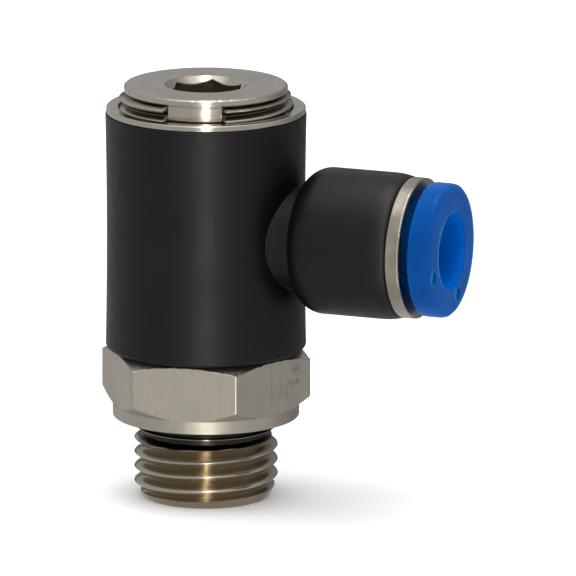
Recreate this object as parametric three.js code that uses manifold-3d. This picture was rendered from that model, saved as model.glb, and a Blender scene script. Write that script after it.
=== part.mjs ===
// One-way flow control valve for compressed air, elbow type, in millimetres.
// A hollow screw with a G1/4 thread carries a swivelling plastic housing whose barrel takes a 6 mm tube.
// The origin is the centre of the flange's seating face. +Z runs up the screw, +X out along the barrel.
// Heights are along the screw's axis, and on the barrel's own pieces along the barrel's axis.
import * as THREE from 'three';
import { mergeVertices } from 'three/addons/utils/BufferGeometryUtils.js';
import Module from 'manifold-3d';

// Driving dimensions: roundness, and the least gap between pieces that fit into each other.
const OUTER_SEGMENTS = 36;
const INNER_SEGMENTS = 24;
const PLAY = 0.05;
const EDGE = 0.15;

// The hollow screw. Both threads are rings of the right pitch, which stand for the helices.
const PORT_THREAD = { crest: 6.5785, root: 5.72, pitch: 1.337, end: -7.59, topCrest: -1.87, crests: 5 };
const UNDERCUT = { radius: 5.72, depth: 0.8, runOut: 0.35, shoulder: 6.32 };
const PORT_BORE = { radius: 3.4, top: 8.0, coneTop: 8.5, chamfer: 0.3 };
const FLANGE = { radius: 8.55, height: 1.2, recessRadius: 6.62, recessDepth: 0.1 };
const HEX = { flats: 17.0, top: 6.3, chamferTop: 2.2, cornerTop: 5.6, faceRadius: 8.13, turn: 7.8 };
const STEM = { radius: 6.1, foot: 1.7, top: 22.2, spigotRadius: 5.4, spigotTop: 23.2 };
const O_RING = { grooveRadius: 5.1, grooveHeight: 1.5, lower: 8.3, upper: 20.35, outer: 6.28 };
const BACKUP_RING = { grooveRadius: 5.7, bottom: 15.05, grooveHeight: 0.6, outer: 7.0, height: 0.45 };
const LOWER_CHAMBER_RADIUS = 2.9;
const UPPER_CHAMBER = { radius: 3.6, bottom: 13.4 };
const SIDE_PORTS = { count: 4, lowerRadius: 0.9, lowerHeight: 12.2, upperRadius: 1.0, upperHeight: 16.7 };
const PORT_SEAL = { inner: 5.8, outer: 6.47, bottom: -0.7 };
const SEAT = { bore: 1.9, outer: 3.5, bottom: 13.5, top: 14.7, chamfer: 0.35 };
const STOP_RING = { bottom: 22.6, height: 0.5, bore: 2.5, groove: 3.9 };
const LIP_SEAL = { inner: 6.2, sleeve: 6.5, valley: 6.85, lipInner: 7.3, lip: 7.58, root: 7.2 };
const LIP_SEAL_HEIGHTS = { mouth: 13.35, valley: 14.35, top: 14.95 };
const WASHER = { inner: 6.45, outer: 7.9, bottom: 6.45, height: 0.6 };

// The housing and the collar that holds it on the stem.
const HOUSING = { radius: 9.17, waist: 9.05, bottom: 6.38, top: 28.22, bore: 6.35, edge: 0.35 };
const CHAMBER = { radius: 7.7, bottom: 11.2, top: 19.7, chamfer: 0.4 };
const COLLAR = { radius: 9.08, bottom: 28.27, top: 28.78, skirt: 8.5, bore: 8.05 };
const COLLAR_WEB = { bottom: 22.3, top: 23.15 };
const COLLAR_POCKET = { radius: 8.6, bottom: 22.25 };
const BARREL = { height: 17.2, neck: 4.8, radius: 6.7, start: 9.7, end: 19.7, shoulder: 2.4, passage: 2.1 };
const BARREL_ROOT = 5;
const TUBE_BORE = { radius: 3.12, start: 10.2 };
const PUSH_IN_POCKET = { radius: 5.5, start: 13.2 };

// The adjusting screw, and the needle that its clip carries.
const ADJUSTER = { bottom: 25.2, top: 30.8, land: 7.85, rim: 7.46, face: 7.35 };
const BRAKE_GROOVE = { radius: 7.1, bottom: 25.4, top: 26.1 };
const BRAKE_RING = { inner: 7.2, outer: 7.98 };
const ADJUSTER_THREAD = { crest: 7.93, root: 7.38, pitch: 1.0, bottom: 26.15, crests: 4 };
const KEY_SOCKET = { flats: 6.0, floor: 26.6, leadIn: 3.75, leadInDepth: 0.6 };
const KEY_SOCKET_TURN = 41.6;
const RELIEF = { width: 5.2, radius: 7.3, bottom: 26.4, top: 30.15, direction: -77 };
const CLIP_POCKET = { radius: 3.0, top: 26.15, groove: 3.4, grooveBottom: 25.35, grooveTop: 25.8 };
const CLIP_BORE = 1.62;
const NEEDLE = { tip: 13.2, shoulder: 16.75, headBottom: 20.0, headTop: 21.55, top: 26.0 };
const NEEDLE_RADII = { tip: 0.7, taper: 1.7, body: 2.6, head: 3.45, seal: 3.54, shank: 2.0, neck: 1.5 };
const NEEDLE_LAND = 0.3;

// The push-in connection, along the barrel's axis.
const TUBE_SEAL = { start: 13.3, end: 15.2, lip: 3.08, waist: 3.3, outer: 5.45, crest: 14.2 };
const BACKING_RING = { start: 15.35, end: 16.55, bore: 3.2, outer: 5.4, rim: 4.9, dish: 3.6, dishDepth: 0.6 };
const GRAB_RING = { tips: 2.98, rim: 5.35, tipEnd: 16.45, rimEnd: 17.05, thickness: 0.3 };
const GRAB_TEETH = { count: 8, gap: 0.45, root: 4.56 };
const BARREL_RING = { radius: 6.42, end: 21.05, lip: 4.65, sleeve: 5.4, sleeveBore: 5.0, sleeveStart: 17.6 };
const RELEASE = { rim: 6.12, mouth: 3.5, neck: 4.45, bore: 3.15, edge: 0.45 };
const RELEASE_ENDS = { nose: 17.8, funnel: 20.8, back: 21.75, end: 23.95 };
const RELEASE_LUG = { radius: 4.8, start: 18.3, end: 19.3 };
const DIMPLE = { radius: 0.6, depth: 0.3 };
const DIMPLE_PLACES = [{ out: 5.0, angle: -72 }, { out: 4.6, angle: 19 }];

const NICKEL = 0xa89f90;
const BRASS = 0xb59a5a;
const STEEL = 0x9a9a98;
const BLACK = 0x17191a;
const BLUE = 0x0a4fa0;
const IVORY = 0xe4e0d4;

const wasm = await Module();
wasm.setup();

function metal(color) {
  return new THREE.MeshStandardMaterial({ color, roughness: 0.28, metalness: 1.0 });
}

function plastic(color, roughness) {
  return new THREE.MeshStandardMaterial({ color, roughness, metalness: 0.0 });
}

function rubber() {
  return new THREE.MeshStandardMaterial({ color: 0x161616, roughness: 0.7, metalness: 0.0 });
}

// Points of an arc in a profile plane, from one angle to another in degrees.
function arc(centreRadius, centreHeight, radius, from, to, steps) {
  const points = [];
  for (let step = 0; step <= steps; step += 1) {
    const angle = THREE.MathUtils.degToRad(from + ((to - from) * step) / steps);
    points.push([centreRadius + radius * Math.cos(angle), centreHeight + radius * Math.sin(angle)]);
  }
  return points;
}

// A solid of revolution about +Z from [radius, height] points that run anticlockwise round the section.
// A profile that starts off the axis closes on its own first point.
function turned(points, segments) {
  const profile = points.map(([radius, height]) => new THREE.Vector2(radius, height));
  if (points[0][0] > 0) profile.push(profile[0].clone());
  return new THREE.LatheGeometry(profile, segments).rotateX(Math.PI / 2);
}

// A ring of rectangular section.
function flatRing(inner, outer, bottom, top) {
  return turned([[inner, bottom], [outer, bottom], [outer, top], [inner, top]], INNER_SEGMENTS);
}

// A ring of rounded section that fills its groove, as a fitted O-ring does.
function sealRing(inner, outer, bottom, top) {
  const third = (outer - inner) / 3;
  const middle = (bottom + top) / 2;
  const section = [
    [inner, middle],
    [inner + third, bottom],
    [outer - third, bottom],
    [outer, middle],
    [outer - third, top],
    [inner + third, top],
  ];
  return turned(section, INNER_SEGMENTS);
}

// The saw-tooth outline of a thread's section, upwards from its lowest root.
function ridges(thread, lowestRoot) {
  const points = [];
  for (let turn = 0; turn < thread.crests; turn += 1) {
    const root = lowestRoot + turn * thread.pitch;
    points.push([thread.root, root], [thread.crest, root + thread.pitch / 2]);
  }
  return points;
}

// The two sides of a groove cut into a round surface, upwards.
function groove(surface, radius, bottom, top) {
  return [[surface, bottom], [radius, bottom], [radius, top], [surface, top]];
}

// A closed geometry as a solid that can be joined and cut.
function solidOf(geometry) {
  const bare = geometry.clone();
  bare.deleteAttribute('normal');
  bare.deleteAttribute('uv');
  const merged = mergeVertices(bare, 1e-4);
  const corners = merged.getIndex().array;
  const triangles = [];
  for (let start = 0; start < corners.length; start += 3) {
    const [a, b, c] = corners.slice(start, start + 3);
    if (a !== b && b !== c && c !== a) triangles.push(a, b, c);
  }
  const vertProperties = merged.getAttribute('position').array;
  const triVerts = Uint32Array.from(triangles);
  return new wasm.Manifold(new wasm.Mesh({ numProp: 3, vertProperties, triVerts }));
}

function geometryOf(solid) {
  const { vertProperties, triVerts } = solid.getMesh();
  const geometry = new THREE.BufferGeometry();
  geometry.setAttribute('position', new THREE.BufferAttribute(vertProperties, 3));
  geometry.setIndex(new THREE.BufferAttribute(triVerts, 1));
  return geometry;
}

// One geometry with the others cut out of it.
function cut(geometry, tools) {
  let solid = solidOf(geometry);
  for (const tool of tools) solid = solid.subtract(solidOf(tool));
  return geometryOf(solid);
}

// An upright hexagonal prism with one corner at the given angle from +X, in degrees.
function hexPrism(flats, bottom, top, turn) {
  const cornerRadius = flats / Math.sqrt(3);
  return new THREE.CylinderGeometry(cornerRadius, cornerRadius, top - bottom, 6)
    .rotateX(Math.PI / 2)
    .rotateZ(THREE.MathUtils.degToRad(turn) + Math.PI / 6)
    .translate(0, 0, (top + bottom) / 2);
}

// Lays an upright geometry on the barrel's axis, so that its +Z points out of the barrel.
function alongBarrel(geometry) {
  return geometry.rotateY(Math.PI / 2).translate(0, 0, BARREL.height);
}

// Round drills from the axis outwards, evenly spaced, at one height.
function sidePortDrills(radius, height) {
  const reach = STEM.radius + 1;
  const drills = [];
  for (let port = 0; port < SIDE_PORTS.count; port += 1) {
    const drill = new THREE.CylinderGeometry(radius, radius, reach, 12)
      .translate(0, reach / 2, 0)
      .rotateZ((port * 2 * Math.PI) / SIDE_PORTS.count)
      .translate(0, 0, height);
    drills.push(drill);
  }
  return drills;
}

// The hollow screw without its hexagon: thread, undercut, flange recessed for the sealing ring, stem with
// grooves, and the stepped bore.
function turnedScrew() {
  const lowestRoot = PORT_THREAD.topCrest - (PORT_THREAD.crests - 0.5) * PORT_THREAD.pitch;
  const stopRingTop = STOP_RING.bottom + STOP_RING.height;
  const profile = [
    [PORT_BORE.radius + PORT_BORE.chamfer, PORT_THREAD.end],
    [PORT_THREAD.root + PORT_BORE.chamfer, PORT_THREAD.end],
    ...ridges(PORT_THREAD, lowestRoot).slice(1),
    [UNDERCUT.shoulder, -UNDERCUT.depth - UNDERCUT.runOut],
    [UNDERCUT.radius, -UNDERCUT.depth],
    [UNDERCUT.radius, FLANGE.recessDepth],
    [FLANGE.recessRadius, FLANGE.recessDepth],
    [FLANGE.recessRadius, 0],
    [FLANGE.radius, 0],
    [FLANGE.radius, FLANGE.height],
    [STEM.radius, STEM.foot],
    ...groove(STEM.radius, O_RING.grooveRadius, O_RING.lower, O_RING.lower + O_RING.grooveHeight),
    ...groove(
      STEM.radius,
      BACKUP_RING.grooveRadius,
      BACKUP_RING.bottom,
      BACKUP_RING.bottom + BACKUP_RING.grooveHeight,
    ),
    ...groove(STEM.radius, O_RING.grooveRadius, O_RING.upper, O_RING.upper + O_RING.grooveHeight),
    [STEM.radius, STEM.top],
    [STEM.spigotRadius, STEM.top],
    [STEM.spigotRadius, STEM.spigotTop],
    [UPPER_CHAMBER.radius, STEM.spigotTop],
    ...groove(UPPER_CHAMBER.radius, STOP_RING.groove, stopRingTop, STOP_RING.bottom),
    [UPPER_CHAMBER.radius, UPPER_CHAMBER.bottom],
    [LOWER_CHAMBER_RADIUS, UPPER_CHAMBER.bottom],
    [LOWER_CHAMBER_RADIUS, PORT_BORE.coneTop],
    [PORT_BORE.radius, PORT_BORE.top],
    [PORT_BORE.radius, PORT_THREAD.end + PORT_BORE.chamfer],
  ];
  return turned(profile, OUTER_SEGMENTS);
}

// The spanner hexagon, chamfered at both ends by a turned double cone.
function chamferedHex() {
  const inner = STEM.radius - 2 * EDGE;
  const cornerRadius = HEX.flats / Math.sqrt(3) + PLAY;
  const cone = turned(
    [
      [inner, FLANGE.height / 2],
      [FLANGE.radius - PLAY, FLANGE.height / 2],
      [FLANGE.radius - PLAY, FLANGE.height],
      [cornerRadius, HEX.chamferTop],
      [cornerRadius, HEX.cornerTop],
      [HEX.faceRadius, HEX.top],
      [inner, HEX.top],
    ],
    OUTER_SEGMENTS,
  );
  return solidOf(hexPrism(HEX.flats, 0, HEX.top + 1, HEX.turn)).intersect(solidOf(cone));
}

function hollowScrew() {
  const blank = geometryOf(solidOf(turnedScrew()).add(chamferedHex()));
  return cut(blank, [
    ...sidePortDrills(SIDE_PORTS.lowerRadius, SIDE_PORTS.lowerHeight),
    ...sidePortDrills(SIDE_PORTS.upperRadius, SIDE_PORTS.upperHeight),
  ]);
}

function orificeSeat() {
  const profile = [
    [SEAT.bore, SEAT.bottom],
    [SEAT.outer, SEAT.bottom],
    [SEAT.outer, SEAT.top],
    [SEAT.bore + SEAT.chamfer, SEAT.top],
    [SEAT.bore, SEAT.top - SEAT.chamfer],
  ];
  return turned(profile, INNER_SEGMENTS);
}

// The U-shaped check seal: a sleeve round the stem, and a lip that spreads downwards to the housing's wall.
function checkLipSeal() {
  const profile = [
    [LIP_SEAL.inner, LIP_SEAL_HEIGHTS.mouth],
    [LIP_SEAL.sleeve, LIP_SEAL_HEIGHTS.mouth],
    [LIP_SEAL.sleeve, LIP_SEAL_HEIGHTS.valley],
    [LIP_SEAL.valley, LIP_SEAL_HEIGHTS.valley],
    [LIP_SEAL.lipInner, LIP_SEAL_HEIGHTS.mouth],
    [LIP_SEAL.lip, LIP_SEAL_HEIGHTS.mouth],
    [LIP_SEAL.root, LIP_SEAL_HEIGHTS.top],
    [LIP_SEAL.inner, LIP_SEAL_HEIGHTS.top],
  ];
  return turned(profile, INNER_SEGMENTS);
}

function topCollar() {
  const webBore = STEM.spigotRadius + PLAY;
  const profile = [
    [webBore, COLLAR_WEB.bottom],
    [COLLAR.skirt, COLLAR_WEB.bottom],
    [COLLAR.skirt, COLLAR.bottom],
    [COLLAR.radius, COLLAR.bottom],
    [COLLAR.radius, COLLAR.top - EDGE],
    [COLLAR.radius - EDGE, COLLAR.top],
    [COLLAR.bore, COLLAR.top],
    [COLLAR.bore, COLLAR_WEB.top],
    [webBore, COLLAR_WEB.top],
  ];
  return turned(profile, OUTER_SEGMENTS);
}

// The adjusting screw: threaded disc with brake-ring groove, clip pocket, key socket and milled relief.
function adjustingScrew() {
  const blank = turned(
    [
      [0, CLIP_POCKET.top],
      [CLIP_POCKET.radius, CLIP_POCKET.top],
      ...groove(CLIP_POCKET.radius, CLIP_POCKET.groove, CLIP_POCKET.grooveTop, CLIP_POCKET.grooveBottom),
      [CLIP_POCKET.radius, ADJUSTER.bottom],
      [ADJUSTER.land, ADJUSTER.bottom],
      ...groove(ADJUSTER.land, BRAKE_GROOVE.radius, BRAKE_GROOVE.bottom, BRAKE_GROOVE.top),
      ...ridges(ADJUSTER_THREAD, ADJUSTER_THREAD.bottom),
      [ADJUSTER_THREAD.root, ADJUSTER_THREAD.bottom + ADJUSTER_THREAD.crests * ADJUSTER_THREAD.pitch],
      [ADJUSTER.rim, ADJUSTER.top - 4 * EDGE],
      [ADJUSTER.rim, ADJUSTER.top - EDGE],
      [ADJUSTER.face, ADJUSTER.top],
      [0, ADJUSTER.top],
    ],
    OUTER_SEGMENTS,
  );
  const leadIn = turned(
    [
      [0, ADJUSTER.top - KEY_SOCKET.leadInDepth],
      [KEY_SOCKET.flats / 2 - PLAY, ADJUSTER.top - KEY_SOCKET.leadInDepth],
      [KEY_SOCKET.leadIn, ADJUSTER.top],
      [KEY_SOCKET.leadIn, ADJUSTER.top + 1],
      [0, ADJUSTER.top + 1],
    ],
    INNER_SEGMENTS,
  );
  const depth = 4;
  const relief = new THREE.BoxGeometry(depth, RELIEF.width, RELIEF.top - RELIEF.bottom)
    .translate(RELIEF.radius + depth / 2, 0, (RELIEF.top + RELIEF.bottom) / 2)
    .rotateZ(THREE.MathUtils.degToRad(RELIEF.direction));
  const socket = hexPrism(KEY_SOCKET.flats, KEY_SOCKET.floor, ADJUSTER.top + 1, KEY_SOCKET_TURN);
  return cut(blank, [socket, leadIn, relief]);
}

// The needle: tapered tip, shoulder, sealed head, and a shank whose end the clip holds.
function throttleNeedle() {
  const neckBottom = CLIP_POCKET.grooveBottom - EDGE;
  const profile = [
    [0, NEEDLE.tip],
    [NEEDLE_RADII.tip, NEEDLE.tip],
    [NEEDLE_RADII.taper, NEEDLE.shoulder - PLAY],
    [NEEDLE_RADII.body, NEEDLE.shoulder + EDGE],
    [NEEDLE_RADII.body, NEEDLE.headBottom - 2 * EDGE],
    [NEEDLE_RADII.head, NEEDLE.headBottom],
    ...groove(
      NEEDLE_RADII.head,
      NEEDLE_RADII.body,
      NEEDLE.headBottom + NEEDLE_LAND,
      NEEDLE.headTop - NEEDLE_LAND,
    ),
    [NEEDLE_RADII.head, NEEDLE.headTop],
    [NEEDLE_RADII.shank, NEEDLE.headTop],
    ...groove(NEEDLE_RADII.shank, NEEDLE_RADII.neck, neckBottom, CLIP_POCKET.grooveTop + PLAY),
    [NEEDLE_RADII.shank, NEEDLE.top],
    [0, NEEDLE.top],
  ];
  return turned(profile, INNER_SEGMENTS);
}

// The sleeve's slightly waisted wall, upwards, widest at both ends and narrowest at mid-height.
function waistedWall(bottom, top, steps) {
  const points = [];
  for (let step = 0; step <= steps; step += 1) {
    const fromMiddle = (2 * step) / steps - 1;
    const radius = HOUSING.waist + (HOUSING.radius - HOUSING.waist) * fromMiddle ** 2;
    points.push([radius, bottom + ((top - bottom) * step) / steps]);
  }
  return points;
}

// The outside of the housing's upright sleeve, with a rounded lower edge.
function sleeveBlank() {
  const footTop = HOUSING.bottom + HOUSING.edge;
  const profile = [
    [0, HOUSING.bottom],
    ...arc(HOUSING.radius - HOUSING.edge, footTop, HOUSING.edge, -90, 0, 4).slice(0, -1),
    ...waistedWall(footTop, HOUSING.top - EDGE, 6),
    [HOUSING.radius - EDGE, HOUSING.top],
    [0, HOUSING.top],
  ];
  return turned(profile, OUTER_SEGMENTS);
}

// The outside of the neck and barrel. A rounded shoulder joins the neck to the barrel.
function barrelBlank() {
  const centreRadius = BARREL.radius - BARREL.shoulder;
  const neckAngle = -THREE.MathUtils.radToDeg(Math.acos((BARREL.neck - centreRadius) / BARREL.shoulder));
  const profile = [
    [0, BARREL_ROOT],
    [BARREL.neck, BARREL_ROOT],
    ...arc(centreRadius, BARREL.start + BARREL.shoulder, BARREL.shoulder, neckAngle, 0, 5),
    [BARREL.radius, BARREL.end - 6 * EDGE],
    [BARREL.radius - EDGE, BARREL.end - 2 * EDGE],
    [BARREL.radius - 2 * EDGE, BARREL.end],
    [0, BARREL.end],
  ];
  return alongBarrel(turned(profile, OUTER_SEGMENTS));
}

// The space for the stem, the washer, the air chamber round the side ports, and the collar.
function stemCore() {
  const washerTop = WASHER.bottom + WASHER.height + 2 * PLAY;
  const washerRadius = WASHER.outer + 2 * PLAY;
  const profile = [
    [0, HOUSING.bottom - 1],
    [washerRadius, HOUSING.bottom - 1],
    [washerRadius, washerTop],
    [HOUSING.bore, washerTop],
    [HOUSING.bore, CHAMBER.bottom],
    [CHAMBER.radius, CHAMBER.bottom + CHAMBER.chamfer],
    [CHAMBER.radius, CHAMBER.top - CHAMBER.chamfer],
    [HOUSING.bore, CHAMBER.top],
    [HOUSING.bore, COLLAR_POCKET.bottom],
    [COLLAR_POCKET.radius, COLLAR_POCKET.bottom],
    [COLLAR_POCKET.radius, HOUSING.top + 1],
    [0, HOUSING.top + 1],
  ];
  return turned(profile, OUTER_SEGMENTS);
}

// The stepped space in the barrel: air passage, tube bore and the pocket for the push-in pieces.
function tubeCore() {
  const profile = [
    [0, BARREL_ROOT],
    [BARREL.passage, BARREL_ROOT],
    [BARREL.passage, TUBE_BORE.start],
    [TUBE_BORE.radius, TUBE_BORE.start],
    [TUBE_BORE.radius, PUSH_IN_POCKET.start],
    [PUSH_IN_POCKET.radius, PUSH_IN_POCKET.start],
    [PUSH_IN_POCKET.radius, BARREL.end + 1],
    [0, BARREL.end + 1],
  ];
  return alongBarrel(turned(profile, INNER_SEGMENTS));
}

function housing() {
  const blank = geometryOf(solidOf(sleeveBlank()).add(solidOf(barrelBlank())));
  return cut(blank, [stemCore(), tubeCore()]);
}

// The seal whose lip closes on the tube.
function tubeSeal() {
  const profile = [
    [TUBE_SEAL.waist, TUBE_SEAL.start],
    [TUBE_SEAL.outer - EDGE, TUBE_SEAL.start],
    [TUBE_SEAL.outer, TUBE_SEAL.start + 4 * EDGE],
    [TUBE_SEAL.outer - EDGE, TUBE_SEAL.end],
    [TUBE_SEAL.waist + EDGE, TUBE_SEAL.end],
    [TUBE_SEAL.lip, TUBE_SEAL.crest],
  ];
  return turned(profile, INNER_SEGMENTS);
}

// The ring behind the tube seal, dished so that the grab ring's teeth have room to spring.
function sealBackingRing() {
  const profile = [
    [BACKING_RING.bore, BACKING_RING.start],
    [BACKING_RING.outer, BACKING_RING.start],
    [BACKING_RING.outer, BACKING_RING.end],
    [BACKING_RING.rim, BACKING_RING.end],
    [BACKING_RING.dish, BACKING_RING.end - BACKING_RING.dishDepth],
    [BACKING_RING.bore, BACKING_RING.end - BACKING_RING.dishDepth],
  ];
  return turned(profile, INNER_SEGMENTS);
}

// The toothed ring: a coned washer, slotted from its inner edge so that its teeth can spring.
function grabRing() {
  const washer = turned(
    [
      [GRAB_RING.tips, GRAB_RING.tipEnd - GRAB_RING.thickness],
      [GRAB_RING.rim, GRAB_RING.rimEnd - GRAB_RING.thickness],
      [GRAB_RING.rim, GRAB_RING.rimEnd],
      [GRAB_RING.tips, GRAB_RING.tipEnd],
    ],
    INNER_SEGMENTS,
  );
  const slots = [];
  for (let tooth = 0; tooth < GRAB_TEETH.count; tooth += 1) {
    const slot = new THREE.BoxGeometry(GRAB_TEETH.root, GRAB_TEETH.gap, 4)
      .translate(GRAB_TEETH.root / 2, 0, GRAB_RING.tipEnd)
      .rotateZ((tooth * 2 * Math.PI) / GRAB_TEETH.count);
    slots.push(slot);
  }
  return cut(washer, slots);
}

// The plated ring at the barrel's mouth: a flange, and a sleeve that clamps the grab ring's rim.
function barrelRing() {
  const flangeStart = BARREL.end + PLAY;
  const profile = [
    [BARREL_RING.sleeveBore, BARREL_RING.sleeveStart],
    [BARREL_RING.sleeve, BARREL_RING.sleeveStart],
    [BARREL_RING.sleeve, flangeStart],
    [BARREL_RING.radius - EDGE / 2, flangeStart],
    [BARREL_RING.radius, flangeStart + EDGE],
    [BARREL_RING.radius, BARREL_RING.end - EDGE],
    [BARREL_RING.radius - EDGE, BARREL_RING.end],
    [BARREL_RING.lip, BARREL_RING.end],
    [BARREL_RING.lip, RELEASE_LUG.end + 3 * EDGE],
    [BARREL_RING.sleeveBore, RELEASE_LUG.end + 2 * PLAY],
  ];
  return turned(profile, OUTER_SEGMENTS);
}

// The release ring: nose, a lug that keeps it in the barrel, neck, and a rim with two shallow round dimples.
function releaseRing() {
  const body = turned(
    [
      [RELEASE.bore, RELEASE_ENDS.nose],
      [RELEASE.neck - RELEASE.edge, RELEASE_ENDS.nose],
      [RELEASE.neck, RELEASE_LUG.start],
      [RELEASE_LUG.radius, RELEASE_LUG.end - RELEASE.edge],
      [RELEASE_LUG.radius, RELEASE_LUG.end],
      [RELEASE.neck, RELEASE_LUG.end],
      [RELEASE.neck, RELEASE_ENDS.back],
      ...arc(RELEASE.rim - RELEASE.edge, RELEASE_ENDS.back + RELEASE.edge, RELEASE.edge, -90, 0, 3),
      ...arc(RELEASE.rim - RELEASE.edge, RELEASE_ENDS.end - RELEASE.edge, RELEASE.edge, 0, 90, 3),
      [RELEASE.mouth + EDGE, RELEASE_ENDS.end],
      [RELEASE.mouth, RELEASE_ENDS.end - EDGE],
      [RELEASE.bore, RELEASE_ENDS.funnel],
    ],
    OUTER_SEGMENTS,
  );
  const dimples = DIMPLE_PLACES.map(({ out, angle }) =>
    new THREE.CylinderGeometry(DIMPLE.radius, DIMPLE.radius, 2 * DIMPLE.depth, 10)
      .rotateX(Math.PI / 2)
      .translate(out, 0, RELEASE_ENDS.end)
      .rotateZ(THREE.MathUtils.degToRad(angle)),
  );
  return cut(body, dimples);
}

function addPart(group, name, geometry, material) {
  const mesh = new THREE.Mesh(geometry, material);
  mesh.name = name;
  group.add(mesh);
}

// The fixed pieces: the hollow screw, what sits on its stem, and the collar on top.
function addFixedPieces(group) {
  addPart(group, 'hollow_screw', hollowScrew(), metal(NICKEL));
  const portSeal = flatRing(PORT_SEAL.inner, PORT_SEAL.outer, PORT_SEAL.bottom, -PLAY);
  addPart(group, 'port_seal_ring', portSeal, rubber());
  const washer = flatRing(WASHER.inner, WASHER.outer, WASHER.bottom, WASHER.bottom + WASHER.height);
  addPart(group, 'thrust_washer', washer, plastic(IVORY, 0.5));
  for (const place of ['lower', 'upper']) {
    const bottom = O_RING[place] + 2 * PLAY;
    const top = O_RING[place] + O_RING.grooveHeight - 2 * PLAY;
    const ring = sealRing(O_RING.grooveRadius + PLAY, O_RING.outer, bottom, top);
    addPart(group, `${place}_o_ring`, ring, rubber());
  }
  addPart(group, 'check_lip_seal', checkLipSeal(), rubber());
  const backupBottom = BACKUP_RING.bottom + PLAY;
  const backupInner = BACKUP_RING.grooveRadius + 2 * PLAY;
  const backup = flatRing(backupInner, BACKUP_RING.outer, backupBottom, backupBottom + BACKUP_RING.height);
  addPart(group, 'lip_seal_backup_ring', backup, plastic(IVORY, 0.5));
  addPart(group, 'orifice_seat', orificeSeat(), metal(BRASS));
  const stopTop = STOP_RING.bottom + STOP_RING.height - PLAY;
  const stopRing = flatRing(STOP_RING.bore, STOP_RING.groove - PLAY, STOP_RING.bottom + PLAY, stopTop);
  addPart(group, 'needle_stop_ring', stopRing, metal(STEEL));
  addPart(group, 'top_collar', topCollar(), metal(NICKEL));
}

// The pieces that move along and round the screw's axis.
function addAdjusterPieces(group) {
  addPart(group, 'throttle_needle', throttleNeedle(), metal(BRASS));
  const ringBottom = NEEDLE.headBottom + NEEDLE_LAND + PLAY;
  const ringTop = NEEDLE.headTop - NEEDLE_LAND - PLAY;
  const needleRing = sealRing(NEEDLE_RADII.body + PLAY, NEEDLE_RADII.seal, ringBottom, ringTop);
  addPart(group, 'needle_o_ring', needleRing, rubber());
  addPart(group, 'adjusting_screw', adjustingScrew(), metal(NICKEL));
  const brakeBottom = BRAKE_GROOVE.bottom + PLAY;
  const brakeRing = sealRing(BRAKE_RING.inner, BRAKE_RING.outer, brakeBottom, BRAKE_GROOVE.top - PLAY);
  addPart(group, 'adjusting_screw_o_ring', brakeRing, rubber());
  const clipBottom = CLIP_POCKET.grooveBottom + PLAY;
  const clip = flatRing(CLIP_BORE, CLIP_POCKET.groove - PLAY, clipBottom, CLIP_POCKET.grooveTop - PLAY);
  addPart(group, 'needle_clip', clip, metal(STEEL));
}

// The push-in connection's pieces, in a group whose +Z points out of the barrel.
function addPushInPieces(group) {
  addPart(group, 'tube_seal', tubeSeal(), rubber());
  addPart(group, 'seal_backing_ring', sealBackingRing(), plastic(IVORY, 0.5));
  addPart(group, 'grab_ring', grabRing(), metal(STEEL));
  addPart(group, 'barrel_ring', barrelRing(), metal(NICKEL));
  addPart(group, 'release_ring', releaseRing(), plastic(BLUE, 0.35));
}

const valve = new THREE.Group();
const pushIn = new THREE.Group();
pushIn.rotation.y = Math.PI / 2;
pushIn.position.z = BARREL.height;
valve.add(pushIn);

addFixedPieces(valve);
addPart(valve, 'housing', housing(), plastic(BLACK, 0.45));
addAdjusterPieces(valve);
addPushInPieces(pushIn);

export default valve;
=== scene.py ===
"""One-way flow control valve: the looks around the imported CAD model.

Lengths are in millimetres, and mesh() turns them into metres. Heights are along the screw's axis. On the
barrel's pieces they are along the barrel's axis.
"""

import math

import bmesh
import bpy
from mathutils import Matrix, Vector


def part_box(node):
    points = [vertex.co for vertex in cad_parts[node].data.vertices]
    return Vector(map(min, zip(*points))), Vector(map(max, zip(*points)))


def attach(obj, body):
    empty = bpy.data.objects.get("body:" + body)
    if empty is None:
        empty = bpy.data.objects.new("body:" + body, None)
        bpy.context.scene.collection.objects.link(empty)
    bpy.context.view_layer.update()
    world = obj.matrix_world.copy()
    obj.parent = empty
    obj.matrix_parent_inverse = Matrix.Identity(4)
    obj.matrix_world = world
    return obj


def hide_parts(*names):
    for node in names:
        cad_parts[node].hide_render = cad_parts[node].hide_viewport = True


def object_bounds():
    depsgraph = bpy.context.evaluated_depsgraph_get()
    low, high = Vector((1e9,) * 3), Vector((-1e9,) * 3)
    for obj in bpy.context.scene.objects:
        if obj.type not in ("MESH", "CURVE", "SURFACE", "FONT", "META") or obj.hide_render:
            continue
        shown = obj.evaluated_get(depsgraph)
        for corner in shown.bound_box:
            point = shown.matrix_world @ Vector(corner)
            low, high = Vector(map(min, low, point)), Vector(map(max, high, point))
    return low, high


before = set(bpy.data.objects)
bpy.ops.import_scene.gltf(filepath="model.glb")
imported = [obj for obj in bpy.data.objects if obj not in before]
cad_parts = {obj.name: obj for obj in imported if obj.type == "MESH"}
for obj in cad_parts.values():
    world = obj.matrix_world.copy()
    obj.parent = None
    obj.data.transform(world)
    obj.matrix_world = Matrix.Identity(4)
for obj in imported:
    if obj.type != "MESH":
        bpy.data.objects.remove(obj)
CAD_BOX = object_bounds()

MM = 0.001
WELD = 2e-7
ROUND_STEPS = 3
COLUMNS_PER_SIDE = 60
STEPS_PER_TURN = 20
SHARP_ANGLE = math.radians(32)
LOOK_MARGIN = 0.05


def box_mm(node):
    """Lowest and highest corner of a CAD node, in millimetres."""
    low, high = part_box(node)
    return low / MM, high / MM


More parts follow.
